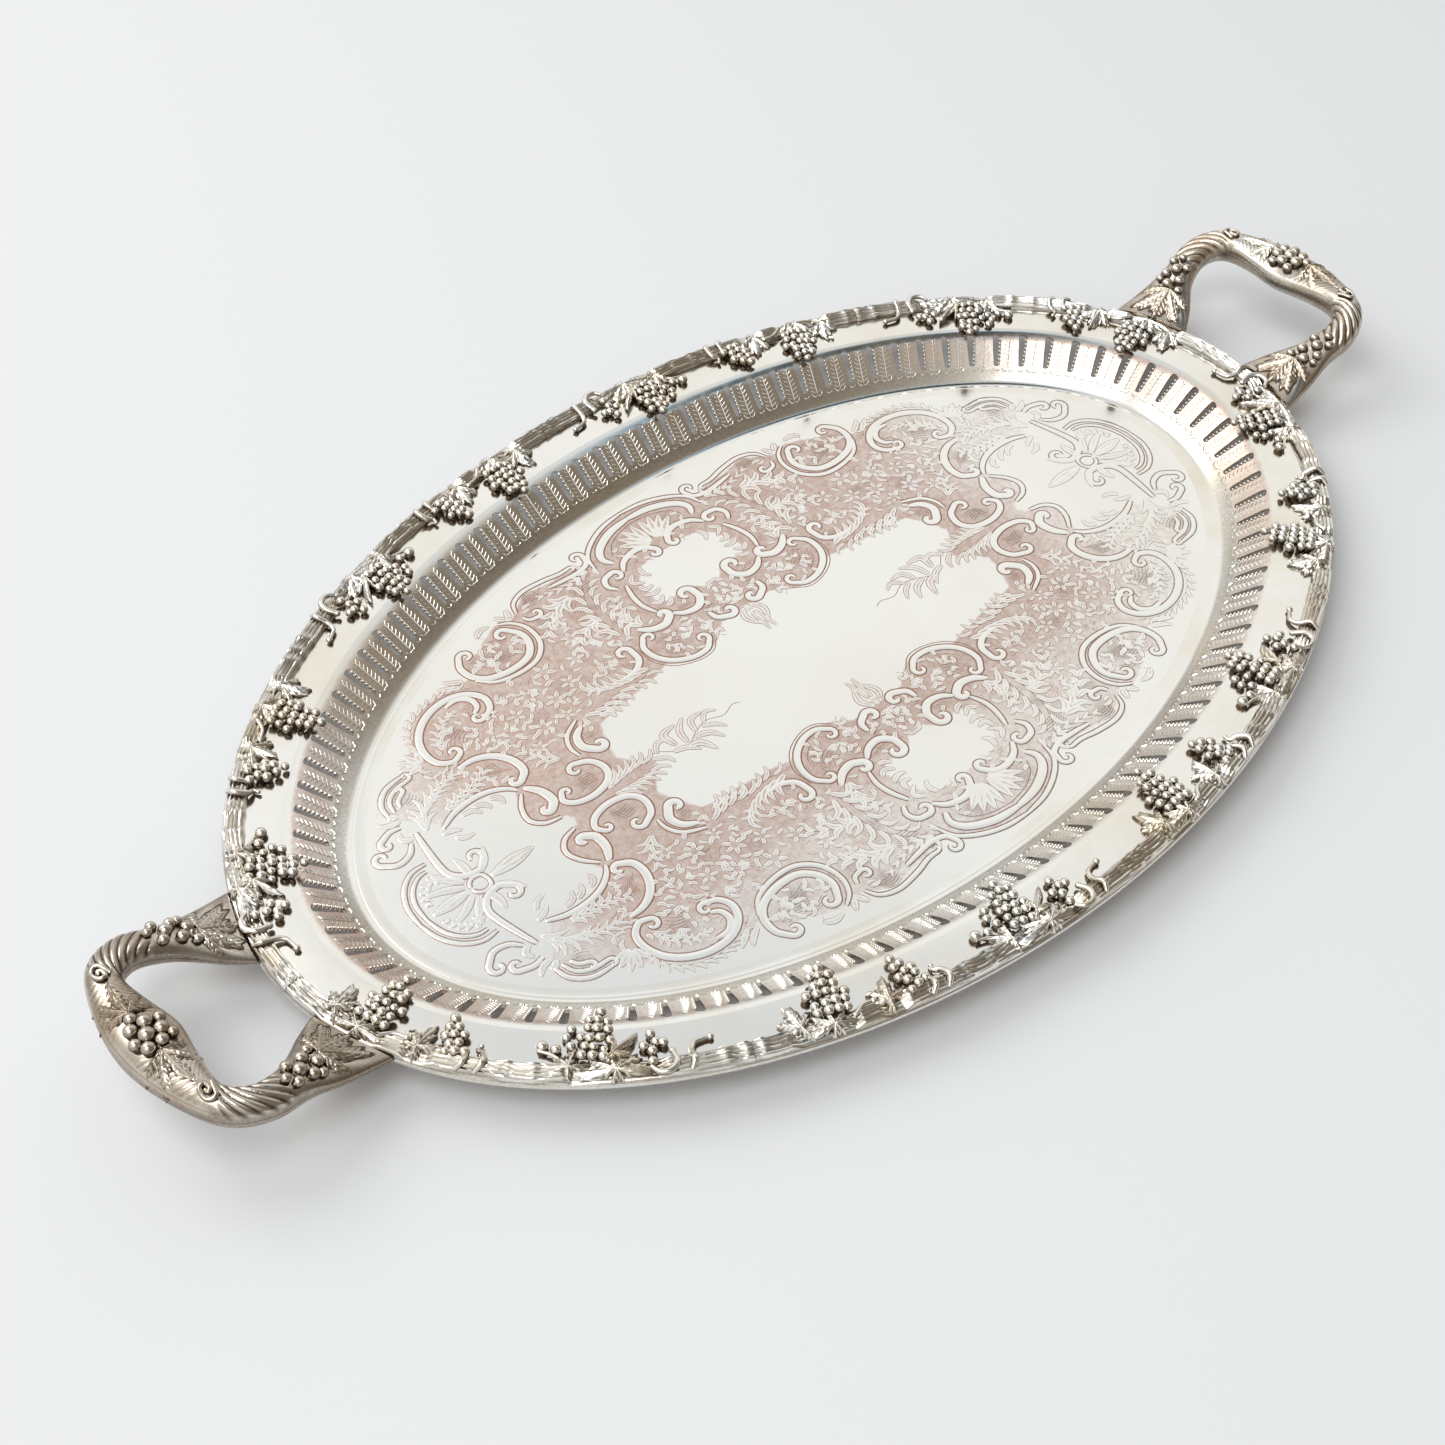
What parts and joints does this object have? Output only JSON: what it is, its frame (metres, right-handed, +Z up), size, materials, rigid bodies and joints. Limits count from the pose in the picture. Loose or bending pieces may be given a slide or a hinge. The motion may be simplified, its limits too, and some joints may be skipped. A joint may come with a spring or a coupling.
{
  "type": "gallery tray",
  "caption": "Oval silver-plated vanity and serving tray with a pierced gallery wall, a cast grapevine border and a loop handle at each end.",
  "frame": {"origin": "on the floor under the centre of the oval, on the flat underside of the tray", "axes": "+X along the long axis towards the right handle, +Y across the tray, +Z up"},
  "size_m": [0.6312, 0.338, 0.0402],
  "materials": {
    "tray_sheet": "polished silver plate over copper, warm white, with copper showing in the worn engraving",
    "border_casting": "polished silver-plated casting with darker tarnish in the hollows",
    "handle_casting": "polished silver-plated casting with brown tarnish in the hollows"
  },
  "bodies": {
    "root": {"tray_body": "tray_sheet", "vine_border_1": "border_casting", "vine_border_2": "border_casting", "vine_border_3": "border_casting", "vine_border_4": "border_casting", "vine_border_5": "border_casting", "vine_border_6": "border_casting", "vine_border_7": "border_casting", "vine_border_8": "border_casting", "right_handle_upper": "handle_casting", "right_handle_lower": "handle_casting", "left_handle_upper": "handle_casting", "left_handle_lower": "handle_casting"}
  },
  "joints": []
}
